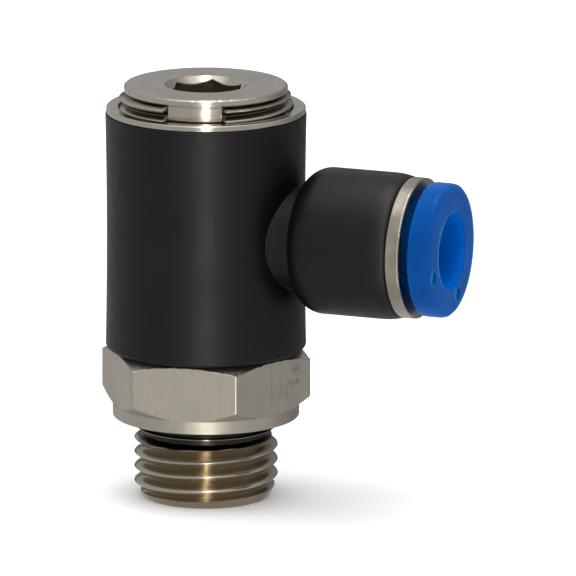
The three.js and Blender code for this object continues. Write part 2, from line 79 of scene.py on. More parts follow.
SCREW_LOW, SCREW_HIGH = box_mm("hollow_screw")
HOUSING_LOW, HOUSING_HIGH = box_mm("housing")
COLLAR_LOW, COLLAR_HIGH = box_mm("top_collar")
ADJUSTER_LOW, ADJUSTER_HIGH = box_mm("adjusting_screw")
BARREL_RING_LOW, BARREL_RING_HIGH = box_mm("barrel_ring")
RELEASE_LOW, RELEASE_HIGH = box_mm("release_ring")
NEEDLE_LOW, NEEDLE_HIGH = box_mm("throttle_needle")
SEAT_LOW, SEAT_HIGH = box_mm("orifice_seat")
SEAL_LOW, SEAL_HIGH = box_mm("tube_seal")
BACKING_LOW, BACKING_HIGH = box_mm("seal_backing_ring")
GRAB_LOW, GRAB_HIGH = box_mm("grab_ring")
PORT_SEAL_LOW, PORT_SEAL_HIGH = box_mm("port_seal_ring")
BARREL_HEIGHT = (RELEASE_LOW.z + RELEASE_HIGH.z) / 2
ALONG_BARREL = Matrix.Translation((0, 0, BARREL_HEIGHT * MM)) @ Matrix.Rotation(math.pi / 2, 4, "Y")

# The hollow screw.
FLANGE_RADIUS = 8.55
FLANGE_HEIGHT = 1.2
HEX_FLATS = 17.0
HEX_TURN = math.radians(7.8)
HEX_TOP = 6.3
HEX_FACE_RADIUS = 8.13
HEX_LOWER_SLOPE = 0.77
HEX_UPPER_SLOPE = 0.41
HEX_CORNER_ROUNDING = 0.22
EDGE_WEAR = 0.09
STEM_RADIUS = 6.1
STEM_TOP = 22.2
SPIGOT_RADIUS = 5.4
STOP_CLEARANCE = 0.03
PORT_BORE_RADIUS = 3.4
PORT_BORE_TOP = 8.0
CHAMBER_BORE_RADIUS = 2.9
UPPER_BORE_RADIUS = 3.6
UPPER_BORE_BOTTOM = 13.4
SIDE_PORTS = ((0.9, 12.2), (1.0, 16.7))
SEAL_RECESS_RADIUS = 6.62
SEAL_RECESS_DEPTH = 0.1
UNDERCUT_RADIUS = 5.72
UNDERCUT_BOTTOM = -1.3
UNDERCUT_LIP = 6.35
UNDERCUT_LIP_BOTTOM = -1.09
UNDERCUT_LIP_TOP = -1.02
UNDERCUT_LIP_DRAFT = 0.03
# Lowest height of the painted shade in the undercut.
UNDERCUT_SHADE_BOTTOM = -2.0
THREAD_FACES_TOP = 0.05
THREAD_START = -1.68
THREAD_START_SLOPE = 1.9
THREAD_END_RADIUS = 5.7
THREAD_END_SLOPE = 0.62

# The housing.
HOUSING_RADIUS = HOUSING_HIGH.y
HOUSING_WAIST = 9.05
HOUSING_FOOT_ROUNDING = 0.35
NECK_RADIUS = 4.8
NECK_ROOT_ROUNDING = 0.08
BARREL_RADIUS = 6.7
BARREL_START = 9.7
BARREL_END = HOUSING_HIGH.x
BARREL_END_CURVE = ((0, 1.9), (0.03, 1.2), (0.1, 0.7), (0.19, 0.3), (0.27, 0.06), (0.33, 0))
SHOULDER_RADIUS = 2.4
HOLE_HALF = 7.6
HOLE_COLUMNS = 96

# The adjusting screw.
ADJUSTER_TOP = ADJUSTER_HIGH.z
ADJUSTER_BOTTOM = ADJUSTER_LOW.z
ADJUSTER_RIM = 7.46
ADJUSTER_FACE = 7.3
ADJUSTER_THREAD_TOP = ADJUSTER_TOP - 0.6
ADJUSTER_THREAD_BOTTOM = 26.15
RIM_GROOVE_RADIUS = 7.24
RIM_GROOVE_HEIGHT = 0.08
RUN_OUT_SLOPE = 2.0
KEY_FLATS = 6.0
KEY_TURN = math.radians(41.6)
KEY_CORNER_ROUNDING = 0.08
KEY_FLOOR = 26.6
LEAD_IN_RADIUS = 3.78
LEAD_IN_SLOPE = 0.75
RELIEF_RADIUS = 7.3
RELIEF_DIRECTION = math.radians(-77)
RELIEF_HALF_ANGLE = math.radians(19.5)
RELIEF_RAMP = math.radians(2.0)

# The release ring.
RELEASE_RIM = RELEASE_HIGH.y
RELEASE_MOUTH = 3.5
RELEASE_BORE = 3.15
DIMPLE_RADIUS = 0.64
DIMPLE_DEPTH = 0.16
DIMPLE_PLACES = ((5.0, -72), (4.6, 19))


class Thread:
    """A right-hand thread's section: radius at a distance along the axis from a crest."""

    def __init__(self, pitch, crest, root, half_angle, softness, crest_height, crest_angle):
        self.pitch = pitch
        self.crest = crest
        self.root = root
        self.slope = 1 / math.tan(math.radians(half_angle))
        self.softness = softness
        self.start = crest_height - pitch * crest_angle / 360

    def radius(self, distance):
        from_crest = abs((distance + self.pitch / 2) % self.pitch - self.pitch / 2)
        flank = (self.crest + self.root) / 2 + (self.pitch / 4 - from_crest) * self.slope
        below_crest = soft_min(flank, self.crest, self.softness)
        return -soft_min(-below_crest, -self.root, self.softness)


def soft_min(a, b, softness):
    """The smaller of two values, with a rounded change from one to the other."""
    overlap = max(softness - abs(a - b), 0) / softness
    return min(a, b) - overlap * overlap * softness / 4


PORT_THREAD = Thread(1.337, 6.6, 5.72, 27.5, 0.4, -2.84, 22)
ADJUSTER_THREAD = Thread(1.0, 7.93, 7.38, 30, 0.12, 29.55, 202)


# ---------------------------------------------------------------- outlines and meshes


def rounded(corners, closed=True):
    """Points of an outline from (radius, height, rounding) corners. A rounded corner is a short curve with
    a margin on both sides, so that what lies beyond it keeps flat shading."""
    points = []
    for index, (radius, height, rounding) in enumerate(corners):
        corner = Vector((radius, height))
        at_end = not closed and index in (0, len(corners) - 1)
        if not rounding or at_end:
            points.append(corner)
            continue
        before = Vector(corners[index - 1][:2]) - corner
        after = Vector(corners[(index + 1) % len(corners)][:2]) - corner
        reach = min(rounding, 0.4 * before.length, 0.4 * after.length)
        start = corner + before.normalized() * reach
        end = corner + after.normalized() * reach
        points.append(start + before.normalized() * reach * 0.2)
        for step in range(ROUND_STEPS + 1):
            share = step / ROUND_STEPS
            points.append(start.lerp(corner, share).lerp(corner.lerp(end, share), share))
        points.append(end + after.normalized() * reach * 0.2)
    return points


def arc(centre_radius, centre_height, radius, first, last, steps):
    """Points of an arc in the outline's plane, between two angles in degrees."""
    angles = [math.radians(first + (last - first) * step / steps) for step in range(steps + 1)]
    return [
        Vector((centre_radius + radius * math.cos(angle), centre_height + radius * math.sin(angle)))
        for angle in angles
    ]


def turn_angles(count, start=0.0):
    """Angles all the way round, the closing one included."""
    return [start + 2 * math.pi * step / count for step in range(count + 1)]


def at_angle(point, angle):
    radius, height = point
    return Vector((radius * math.cos(angle), radius * math.sin(angle), height))


def revolved(outline, angles):
    """A sheet of points: one column of the outline for each angle. The outline may depend on the angle."""
    columns = [outline(angle) if callable(outline) else outline for angle in angles]
    rows = len(columns[0])
    return [[at_angle(column[row], angle) for column, angle in zip(columns, angles)] for row in range(rows)]


def closed_outline(points):
    return [*points, points[0]]


def mesh(name, sheets, transform=None):
    """One mesh from sheets of points whose shared edges are welded, with its faces turned outwards."""
    vertices = []
    faces = []
    for sheet in sheets:
        first = len(vertices)
        width = len(sheet[0])
        vertices += [point * MM for row in sheet for point in row]
        for row in range(len(sheet) - 1):
            for column in range(width - 1):
                corner = first + row * width + column
                faces.append((corner, corner + 1, corner + width + 1, corner + width))
    data = bpy.data.meshes.new(name)
    data.from_pydata(vertices, [], faces)
    weld(data)
    if transform is not None:
        data.transform(transform)
    return data


def weld(data):
    """Merges what coincides and turns the faces outwards."""
    work = bmesh.new()
    work.from_mesh(data)
    bmesh.ops.remove_doubles(work, verts=work.verts, dist=WELD)
    bmesh.ops.dissolve_degenerate(work, edges=work.edges, dist=WELD)
    bmesh.ops.recalc_face_normals(work, faces=work.faces)
    wires = [edge for edge in work.edges if edge.is_wire]
    bmesh.ops.delete(work, geom=wires, context="EDGES")
    work.to_mesh(data)
    work.free()


def add_object(name, data):
    made = bpy.data.objects.new(name, data)
    bpy.context.scene.collection.objects.link(made)
    return made


def cut(piece, cutters):
    """Cuts each mesh in cutters out of the piece."""
    for index, cutter_mesh in enumerate(cutters):
        cutter = add_object(f"{piece.name}_cutter_{index}", cutter_mesh)
        modifier = piece.modifiers.new("cut", "BOOLEAN")
        modifier.operation = "DIFFERENCE"
        modifier.solver = "EXACT"
        modifier.object = cutter
        depsgraph = bpy.context.evaluated_depsgraph_get()
        result = bpy.data.meshes.new_from_object(piece.evaluated_get(depsgraph))
        piece.modifiers.clear()
        piece.data = result
        bpy.data.objects.remove(cutter)
    weld(piece.data)


def dress(piece, body, replaced, slot_name, *materials):
    """Shading, materials, and the CAD body and node that the piece stands for. slot_name is not used."""
    piece.data.materials.clear()
    for material in materials:
        piece.data.materials.append(material)
    piece.data.shade_smooth()
    piece.data.set_sharp_from_angle(angle=SHARP_ANGLE)
    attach(piece, body)
    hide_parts(replaced)
    return piece


def turned_piece(name, body, corners, slot_name, material, transform=None, count=120):
    """A plain piece of revolution that replaces the CAD node of the same name."""
    sheet = revolved(closed_outline(rounded(corners)), turn_angles(count))
    piece = add_object(f"{name}_fine", mesh(name, [sheet], transform))
    return dress(piece, body, name, slot_name, material)


def helix_sheet(thread, angles, bottom, top, radius_at):
    """The thread's surface between two heights. Rows follow the helix, and are held back at both ends."""
    step = thread.pitch / STEPS_PER_TURN
    first = math.floor((bottom - thread.start - thread.pitch * angles[-1] / (2 * math.pi)) / step)
    last = math.ceil((top - thread.start) / step)
    sheet = []
    for row in range(first, last + 1):
        distance = row * step
        points = []
        for angle in angles:
            height = thread.start + distance + thread.pitch * angle / (2 * math.pi)
            height = max(bottom, min(top, height))
            points.append(at_angle((radius_at(thread.radius(distance), angle, height), height), angle))
        sheet.append(points)
    return sheet


def hex_angles(turn, columns_per_side):
    """Angles round a hexagon, the closing one included, close together at its rounded corners."""
    near = [math.radians(value) for value in (0, 0.35, 0.75, 1.5)]
    side = math.pi / 3
    span = side - 2 * near[-1]
    inner = [near[-1] + span * step / columns_per_side for step in range(1, columns_per_side)]
    offsets = [*near, *inner, *[side - value for value in reversed(near[1:])]]
    angles = [turn + side * corner + offset for corner in range(6) for offset in offsets]
    return [*angles, turn + 2 * math.pi]


def nick(angle):
    """Depth of the tiny nicks along a worn edge, from 0 to 1: mostly none, with a few close together."""
    wave = 0.5 * math.sin(41 * angle) + 0.3 * math.sin(97 * angle + 1) + 0.35 * math.sin(163 * angle + 2)
    return max(0.0, min(1.0, 2.2 * wave - 0.7))


def hex_radius(angle, flats, turn, rounding=0.0):
    """Distance from the axis to a hexagon's side. Its corners may be rounded."""
    side = math.pi / 3
    from_corner = (angle - turn + side / 2) % side - side / 2
    if rounding:
        centre = (flats / 2 - rounding) / math.cos(side / 2)
        tangent = math.atan2(rounding * 0.5, centre + rounding * math.cos(side / 2))
        if abs(from_corner) < tangent:
            across = centre * math.sin(from_corner)
            return centre * math.cos(from_corner) + math.sqrt(rounding**2 - across**2)
    return flats / 2 / math.cos(side / 2 - abs(from_corner))


# ---------------------------------------------------------------- materials


def node(tree, kind, sockets=None, **settings):
    """A shader node. sockets gives each input a value, or the output that feeds it."""
    made = tree.nodes.new(kind)
    for name, value in settings.items():
        setattr(made, name, value)
    for key, value in (sockets or {}).items():
        if isinstance(value, bpy.types.NodeSocket):
            tree.links.new(value, made.inputs[key])
        else:
            made.inputs[key].default_value = value
    return made


def noise(tree, place, scale, detail=2.0, roughness=0.5):
    sockets = {"Vector": place, "Scale": scale, "Detail": detail, "Roughness": roughness}
    return node(tree, "ShaderNodeTexNoise", sockets).outputs["Fac"]


def remap(tree, value, low, high, to_low, to_high):
    sockets = {"Value": value, "From Min": low, "From Max": high, "To Min": to_low, "To Max": to_high}
    return node(tree, "ShaderNodeMapRange", sockets).outputs["Result"]


def blend(tree, factor, first, second):
    sockets = {0: factor, 6: first, 7: second}
    return node(tree, "ShaderNodeMix", sockets, data_type="RGBA").outputs[2]


def bump(tree, height, distance, strength=1.0, normal=None):
    sockets = {"Height": height, "Distance": distance, "Strength": strength}
    if normal is not None:
        sockets["Normal"] = normal
    return node(tree, "ShaderNodeBump", sockets).outputs["Normal"]


def number(tree, operation, *values):
    """The result of a Math node."""
    return node(tree, "ShaderNodeMath", dict(enumerate(values)), operation=operation).outputs[0]


def vector(tree, operation, *values):
    """The vector that a Vector Math node gives."""
    return node(tree, "ShaderNodeVectorMath", dict(enumerate(values)), operation=operation).outputs[0]


def measure(tree, operation, *values):
    """The number that a Vector Math node gives: a length, a distance or a dot product."""
    made = node(tree, "ShaderNodeVectorMath", dict(enumerate(values)), operation=operation)
    return made.outputs["Value"]


def rgba(red, green, blue):
    return (red, green, blue, 1.0)


def grey(value):
    return rgba(value, value, value)


def start_material(name):
    """A new material with its tree, its shader and the object coordinates."""
    material = bpy.data.materials.new(name)
    material.use_nodes = True
    tree = material.node_tree
    tree.nodes.clear()
    shader = node(tree, "ShaderNodeBsdfPrincipled")
    output = node(tree, "ShaderNodeOutputMaterial")
    tree.links.new(shader.outputs["BSDF"], output.inputs["Surface"])
    place = node(tree, "ShaderNodeTexCoord").outputs["Object"]
    return material, tree, shader, place


def finish_material(tree, shader, colour, roughness, normal):
    tree.links.new(colour, shader.inputs["Base Color"])
    tree.links.new(roughness, shader.inputs["Roughness"])
    tree.links.new(normal, shader.inputs["Normal"])


def lathe_coordinates(tree, place, along_barrel):
    """Distance from the turning axis and along it, as a vector. A lathe tool's marks follow them."""
    if along_barrel:
        place = vector(tree, "ADD", place, (0, 0, -BARREL_HEIGHT * MM))
    across = (0, 1, 1) if along_barrel else (1, 1, 0)
    radius = measure(tree, "LENGTH", vector(tree, "MULTIPLY", place, across))
    axis = node(tree, "ShaderNodeSeparateXYZ", {0: place}).outputs["X" if along_barrel else "Z"]
    return node(tree, "ShaderNodeCombineXYZ", {"X": radius, "Y": axis}).outputs[0]


# Noise scales, in waves per metre.
TOOL_LINES = 5200
TOOL_HAIRLINES = 16000
PLATING_CLOUDS = 420
PLATING_GRAIN = 9000
SMUDGE_SPECKLE = 1100
PLASTIC_CLOUDS = 260
PLASTIC_WAVES = 900
PLASTIC_MOTTLE = 2600
PLASTIC_GRAIN = 7000
RUBBER_CLOUDS = 500
RUBBER_GRAIN = 12000

TOOL_MARK = rgba(0.16, 0.14, 0.11)
MILLED_STRETCH = (1, 1, 0.04)
SMUDGE_CORE = 0.3
SMUDGE_EDGE = 2.0
GLOW_DEPTH = 3.0


def metal(
    name,
    light,
    dark,
    roughness,
    marks,
    mark_depth,
    along_barrel=False,
    streaky=0.1,
    smudge=None,
    recess=None,
):
    """Plated or bare metal. marks is 'turned' or 'milled': the direction of the tool's marks. streaky is
    how much the marks darken it. smudge is the middle of a worn spot. recess is the radius where painted
    shade in a thread's grooves is full, the one where it ends, and its colour."""
    material, tree, shader, place = start_material(name)
    shader.inputs["Metallic"].default_value = 1.0
    lathe = lathe_coordinates(tree, place, along_barrel)
    tooled = lathe if marks == "turned" else vector(tree, "MULTIPLY", place, MILLED_STRETCH)
    lines = noise(tree, tooled, TOOL_LINES, 3.0, 0.6)
    hairlines = noise(tree, tooled, TOOL_HAIRLINES, 2.0, 0.5)
    cloud = noise(tree, place, PLATING_CLOUDS, 3.0, 0.55)
    grain = noise(tree, place, PLATING_GRAIN, 2.0, 0.6)
    tone = remap(tree, cloud, 0.3, 0.7, 0.0, 1.0)
    colour = blend(tree, tone, rgba(*dark), rgba(*light))
    colour = blend(tree, remap(tree, lines, 0.45, 0.75, 0.0, streaky), colour, TOOL_MARK)
    if smudge:
        middle = tuple(value * MM for value in smudge)
        away = measure(tree, "DISTANCE", place, middle)
        near = remap(tree, away, SMUDGE_CORE * MM, SMUDGE_EDGE * MM, 1.0, 0.0)
        ragged = remap(tree, noise(tree, place, SMUDGE_SPECKLE, 4.0, 0.7), 0.45, 0.62, 0.0, 0.75)
        colour = blend(tree, number(tree, "MULTIPLY", near, ragged), colour, TOOL_MARK)
    # Painted shade: darker towards the bottom of a thread's grooves, full at the first radius and none at
    # the second.
    if recess:
        radius = node(tree, "ShaderNodeSeparateXYZ", {0: lathe}).outputs["X"]
        deep, top, groove_shade = recess
        colour = blend(tree, remap(tree, radius, deep * MM, top * MM, 1.0, 0.0), colour, rgba(*groove_shade))
    streaks = remap(tree, lines, 0.3, 0.7, -0.05, 0.05)
    worn = remap(tree, cloud, 0.3, 0.7, roughness + 0.05, roughness - 0.03)
    rough = number(tree, "ADD", worn, streaks)
    normal = bump(tree, lines, mark_depth)
    normal = bump(tree, hairlines, mark_depth * 0.4, normal=normal)
    normal = bump(tree, grain, mark_depth * 0.5, normal=normal)
    finish_material(tree, shader, colour, rough, normal)
    return material


def moulded(name, colour, lighter, roughness, specular, grain_depth, glow=0.0):
    """Moulded plastic: a fine grain from the mould and soft clouds where it flowed. Light spreads inside it
    by the share that glow gives."""
    material, tree, shader, place = start_material(name)
    shader.inputs["Specular IOR Level"].default_value = specular
    shader.inputs["Subsurface Weight"].default_value = glow
    shader.inputs["Subsurface Radius"].default_value = (1.0, 1.0, 1.0)
    shader.inputs["Subsurface Scale"].default_value = GLOW_DEPTH * MM
    cloud = noise(tree, place, PLASTIC_CLOUDS, 3.0, 0.5)
    grain = noise(tree, place, PLASTIC_GRAIN, 2.0, 0.5)
    mottle = noise(tree, place, PLASTIC_MOTTLE, 2.0, 0.5)
    waves = noise(tree, place, PLASTIC_WAVES, 2.0, 0.5)
    base = blend(tree, remap(tree, cloud, 0.35, 0.75, 0.0, 1.0), rgba(*colour), rgba(*lighter))
    rough = remap(tree, waves, 0.3, 0.7, roughness - 0.04, roughness + 0.05)
    normal = bump(tree, grain, grain_depth)
    normal = bump(tree, mottle, grain_depth * 2.0, normal=normal)
    normal = bump(tree, waves, grain_depth * 2.0, normal=normal)
    finish_material(tree, shader, base, rough, normal)
    return material


def rubber_look():
    material, tree, shader, place = start_material("nitrile_rubber")
    shader.inputs["Specular IOR Level"].default_value = 0.15
    cloud = noise(tree, place, RUBBER_CLOUDS, 3.0, 0.5)
    grain = noise(tree, place, RUBBER_GRAIN, 2.0, 0.5)
    colour = blend(tree, cloud, grey(0.006), grey(0.014))
    rough = remap(tree, cloud, 0.3, 0.7, 0.55, 0.7)
    finish_material(tree, shader, colour, rough, bump(tree, grain, 3e-6))
    return material


NICKEL_LIGHT = (0.60, 0.56, 0.49)
NICKEL_DARK = (0.55, 0.505, 0.43)
NICKEL_STAINED = (0.38, 0.33, 0.25)
SHADE_LIGHT = (0.05, 0.047, 0.04)
SHADE_DARK = (0.03, 0.029, 0.025)
BRASS_LIGHT = (0.62, 0.45, 0.18)
BRASS_DARK = (0.5, 0.35, 0.13)
STEEL_LIGHT = (0.5, 0.5, 0.49)
STEEL_DARK = (0.4, 0.4, 0.4)
BLACK = (0.0006, 0.0013, 0.0017)
BLACK_LIGHTER = (0.0018, 0.0029, 0.0034)
BLUE = (0.0, 0.055, 0.25)
BLUE_LIGHTER = (0.0, 0.07, 0.3)
# A lighter copy of the ring's blue for its bore: painted light inside the bore.
PAINTED_LIGHT_BORE_BLUE = (0.0, 0.12, 0.5)
PAINTED_LIGHT_BORE_BLUE_LIGHTER = (0.0, 0.14, 0.55)
WHITE = (0.66, 0.63, 0.56)
WHITE_LIGHTER = (0.74, 0.72, 0.66)
HEX_SMUDGE = (8.76, -1.02, 4.2)
# Painted shade in the threads' grooves: full at the first radius, none at the second, in this colour.
PORT_THREAD_GROOVE_SHADE = (6.2, 6.6, (0.35, 0.29, 0.21))
ADJUSTER_GROOVE_SHADE = (7.45, 7.9, (0.1, 0.08, 0.055))

nickel_turned = metal("nickel_turned", NICKEL_LIGHT, NICKEL_DARK, 0.42, "turned", 1.4e-6)
nickel_smooth = metal("nickel_smooth", NICKEL_LIGHT, NICKEL_DARK, 0.18, "turned", 0.9e-6)
nickel_milled = metal(
    "nickel_milled", NICKEL_LIGHT, NICKEL_DARK, 0.33, "milled", 1.4e-6, streaky=0.2, smudge=HEX_SMUDGE
)
nickel_barrel = metal(
    "nickel_barrel", NICKEL_LIGHT, NICKEL_STAINED, 0.24, "turned", 1.5e-6, along_barrel=True
)
port_thread_look = metal(
    "nickel_port_thread", NICKEL_LIGHT, NICKEL_DARK, 0.2, "turned", 0.8e-6, recess=PORT_THREAD_GROOVE_SHADE
)
# Near-black nickel for the undercut under the flange: painted shade.
undercut_painted_shade_look = metal("nickel_undercut_painted_shade", SHADE_LIGHT, SHADE_DARK, 0.3, "turned", 1.4e-6)
adjuster_thread_look = metal(
    "nickel_adjuster_thread", NICKEL_LIGHT, NICKEL_DARK, 0.16, "turned", 0.8e-6, recess=ADJUSTER_GROOVE_SHADE
)
brass_turned = metal("brass_turned", BRASS_LIGHT, BRASS_DARK, 0.28, "turned", 1.2e-6)
steel_spring = metal("steel_spring", STEEL_LIGHT, STEEL_DARK, 0.3, "turned", 1.0e-6, along_barrel=True)
black_plastic = moulded("black_plastic", BLACK, BLACK_LIGHTER, 0.42, 0.34, 2.2e-6)
blue_plastic = moulded("blue_plastic", BLUE, BLUE_LIGHTER, 0.28, 0.08, 0.8e-6, glow=0.6)
blue_bore_painted_light = moulded("blue_plastic_bore_painted_light", PAINTED_LIGHT_BORE_BLUE, PAINTED_LIGHT_BORE_BLUE_LIGHTER, 0.28, 0.08, 0.8e-6, glow=0.6)
white_plastic = moulded("white_plastic", WHITE, WHITE_LIGHTER, 0.5, 0.4, 1.5e-6)
rubber = rubber_look()


# ---------------------------------------------------------------- the hollow screw


def hex_outline(angle):
    """The undercut, the flange, the hexagon with its two chamfers, the stem, and the bore to the end."""
    side = hex_radius(angle, HEX_FLATS, HEX_TURN, HEX_CORNER_ROUNDING)
    lower = FLANGE_HEIGHT + max(0.0, side - FLANGE_RADIUS) * HEX_LOWER_SLOPE
    upper = HEX_TOP - (side - HEX_FACE_RADIUS) * HEX_UPPER_SLOPE - EDGE_WEAR * nick(angle)
    spigot_top = SCREW_HIGH.z - STOP_CLEARANCE
    bore_cone, mouth_chamfer = 0.5, 0.4
    corners = [
        (UNDERCUT_RADIUS, UNDERCUT_BOTTOM, 0),
        (UNDERCUT_RADIUS, UNDERCUT_LIP_BOTTOM - UNDERCUT_LIP_DRAFT, 0.02),
        (UNDERCUT_LIP, UNDERCUT_LIP_BOTTOM, 0.03),
        (UNDERCUT_LIP, UNDERCUT_LIP_TOP, 0.03),
        (UNDERCUT_RADIUS, UNDERCUT_LIP_TOP + UNDERCUT_LIP_DRAFT, 0.02),
        (UNDERCUT_RADIUS, SEAL_RECESS_DEPTH, 0.05),
        (SEAL_RECESS_RADIUS, SEAL_RECESS_DEPTH, 0.03),
        (SEAL_RECESS_RADIUS, 0, 0.03),
        (FLANGE_RADIUS, 0, 0.12),
        (FLANGE_RADIUS, FLANGE_HEIGHT, 0.05),
        (side, lower, 0.07),
        (side, upper, 0.07),
        (HEX_FACE_RADIUS, HEX_TOP, 0.08),
        (STEM_RADIUS, HEX_TOP, 0.05),
        (STEM_RADIUS, STEM_TOP, 0.05),
        (SPIGOT_RADIUS, STEM_TOP, 0.05),
        (SPIGOT_RADIUS, spigot_top, 0.05),
        (UPPER_BORE_RADIUS, spigot_top, 0.05),
        (UPPER_BORE_RADIUS, UPPER_BORE_BOTTOM, 0.05),
        (CHAMBER_BORE_RADIUS, UPPER_BORE_BOTTOM, 0.05),
        (CHAMBER_BORE_RADIUS, PORT_BORE_TOP + bore_cone, 0.05),
        (PORT_BORE_RADIUS, PORT_BORE_TOP, 0.05),
        (PORT_BORE_RADIUS, SCREW_LOW.z + mouth_chamfer, 0.08),
        (PORT_BORE_RADIUS + mouth_chamfer, SCREW_LOW.z, 0.06),
        (THREAD_END_RADIUS, SCREW_LOW.z, 0),
    ]
    return rounded(corners, closed=False)


def port_thread_radius(thread_radius, _angle, height):
    """The thread between its end chamfer and the undercut."""
    above_end = height - SCREW_LOW.z
    chamfer = THREAD_END_RADIUS + THREAD_END_SLOPE * above_end
    start = UNDERCUT_RADIUS + max(0.0, THREAD_START - height) * THREAD_START_SLOPE
    return min(thread_radius, chamfer, start)


def side_port_drills():
    """Round drills for the stem's side ports, four at each height."""
    drills = []
    for radius, height in SIDE_PORTS:
        start, end = CHAMBER_BORE_RADIUS / 2, STEM_RADIUS + 1
        corners = [(0, start), (radius, start), (radius, end), (0, end)]
        outline = [Vector(corner) for corner in corners]
        for quarter in range(4):
            turn = Matrix.Rotation(quarter * math.pi / 2, 4, "Z") @ Matrix.Rotation(math.pi / 2, 4, "Y")
            place = Matrix.Translation((0, 0, height * MM)) @ turn
            drills.append(mesh("drill", [revolved(outline, turn_angles(32))], place))
    return drills


def hollow_screw():
    angles = hex_angles(HEX_TURN, COLUMNS_PER_SIDE)
    body = revolved(hex_outline, angles)
    thread = helix_sheet(PORT_THREAD, angles, SCREW_LOW.z, UNDERCUT_BOTTOM, port_thread_radius)
    piece = add_object("hollow_screw_fine", mesh("hollow_screw", [body, thread]))
    cut(piece, side_port_drills())
    looks = nickel_turned, nickel_milled, port_thread_look, undercut_painted_shade_look
    dress(piece, "base", "hollow_screw", "nickel", *looks)
    for face in piece.data.polygons:
        centre = face.center / MM
        out = centre.xy.length
        upright = abs(face.normal.z) < 0.2
        if upright and FLANGE_HEIGHT < centre.z < HEX_TOP and out > HEX_FLATS / 2 - 2 * LOOK_MARGIN:
            face.material_index = looks.index(nickel_milled)
        elif centre.z < THREAD_FACES_TOP and UNDERCUT_RADIUS - LOOK_MARGIN < out < PORT_THREAD.crest:
            # Faces in the undercut above UNDERCUT_SHADE_BOTTOM get the near-black look: painted shade.
            shaded = centre.z > UNDERCUT_SHADE_BOTTOM and out < UNDERCUT_LIP - 2 * LOOK_MARGIN
            face.material_index = looks.index(undercut_painted_shade_look if shaded else port_thread_look)


def port_seal_ring():
    inner, outer = 5.8, PORT_SEAL_HIGH.y
    bottom, top = PORT_SEAL_LOW.z, PORT_SEAL_HIGH.z
    corners = [(inner, bottom, 0.1), (outer, bottom, 0.2), (outer, top, 0.1), (inner, top, 0.05)]
    turned_piece("port_seal_ring", "base", corners, "rubber", rubber)


def orifice_seat():
    bore, outer, chamfer = 1.9, SEAT_HIGH.y, 0.35
    corners = [
        (bore, SEAT_LOW.z, 0.1),
        (outer, SEAT_LOW.z, 0.1),
        (outer, SEAT_HIGH.z, 0.1),
        (bore + chamfer, SEAT_HIGH.z, 0.05),
        (bore, SEAT_HIGH.z - chamfer, 0.05),
    ]
    turned_piece("orifice_seat", "base", corners, "brass", brass_turned)


def top_collar():
    radius, bottom, top = COLLAR_HIGH.y, HOUSING_HIGH.z + 0.05, COLLAR_HIGH.z
    mouth, skirt, bore, web_bore, web_top = 7.98, 8.5, 8.05, SPIGOT_RADIUS + 0.05, COLLAR_LOW.z + 0.85
    corners = [
        (web_bore, COLLAR_LOW.z, 0.05),
        (skirt, COLLAR_LOW.z, 0.1),
        (skirt, bottom, 0.05),
        (radius, bottom, 0.08),
        (radius, top - 0.08, 0.04),
        (radius - 0.1, top, 0.05),
        (mouth, top, 0.1),
        (mouth, bottom, 0.03),
        (bore, bottom - 0.1, 0.03),
        (bore, web_top, 0.1),
        (web_bore, web_top, 0.05),
    ]
    turned_piece("top_collar", "base", corners, "nickel", nickel_smooth, count=180)


# ---------------------------------------------------------------- the adjusting screw and the needle


def relief_depth(angle):
    """1 inside the milled relief, 0 outside it, and a short ramp between."""
    from_middle = abs((angle - RELIEF_DIRECTION + math.pi) % (2 * math.pi) - math.pi)
    return max(0.0, min(1.0, (RELIEF_HALF_ANGLE + RELIEF_RAMP - from_middle) / RELIEF_RAMP))


def adjuster_thread_radius(thread_radius, angle, height):
    """The thread, cut away in the relief, with a narrow groove at its top and a run-out at its bottom."""
    below_groove = max(0.0, ADJUSTER_THREAD_TOP - RIM_GROOVE_HEIGHT - height)
    top_cone = RIM_GROOVE_RADIUS + below_groove * RUN_OUT_SLOPE
    bottom_cone = ADJUSTER_THREAD.root + (height - ADJUSTER_THREAD_BOTTOM) * RUN_OUT_SLOPE
    radius = min(thread_radius, top_cone, bottom_cone)
    relieved = min(radius, RELIEF_RADIUS)
    return radius + (relieved - radius) * relief_depth(angle)


def adjuster_outline(angle):
    """The rim, the face, the key socket with its scalloped lead-in, and the underside."""
    side = hex_radius(angle, KEY_FLATS, KEY_TURN, KEY_CORNER_ROUNDING)
    scallop = ADJUSTER_TOP - (LEAD_IN_RADIUS - side) * LEAD_IN_SLOPE
    thread_end = adjuster_thread_radius(ADJUSTER_THREAD.root, angle, ADJUSTER_THREAD_TOP)
    thread_start = adjuster_thread_radius(ADJUSTER_THREAD.root, angle, ADJUSTER_THREAD_BOTTOM)
    foot, groove_bottom, groove_top, groove_radius = 7.85, 25.4, 26.1, 7.1
    pocket_radius, pocket_top = 3.0, 26.15
    drill_point_radius, drill_point = 2.4, 0.2
    corners = [
        (thread_end, ADJUSTER_THREAD_TOP, 0),
        (ADJUSTER_RIM, ADJUSTER_THREAD_TOP + 0.06, 0.03),
        (ADJUSTER_RIM, ADJUSTER_TOP - 0.14, 0.05),
        (ADJUSTER_FACE - EDGE_WEAR * nick(angle), ADJUSTER_TOP, 0.05),
        (LEAD_IN_RADIUS, ADJUSTER_TOP, 0.06),
        (side, scallop, 0.05),
        (side, KEY_FLOOR, 0.05),
        (drill_point_radius, KEY_FLOOR, 0.02),
        (0, KEY_FLOOR - drill_point, 0),
        (0, pocket_top, 0),
        (pocket_radius, pocket_top, 0.02),
        (pocket_radius, ADJUSTER_BOTTOM, 0.05),
        (foot, ADJUSTER_BOTTOM, 0.05),
        (foot, groove_bottom, 0.02),
        (groove_radius, groove_bottom, 0.02),
        (groove_radius, groove_top, 0.02),
        (thread_start, ADJUSTER_THREAD_BOTTOM, 0),
    ]
    return rounded(corners, closed=False)


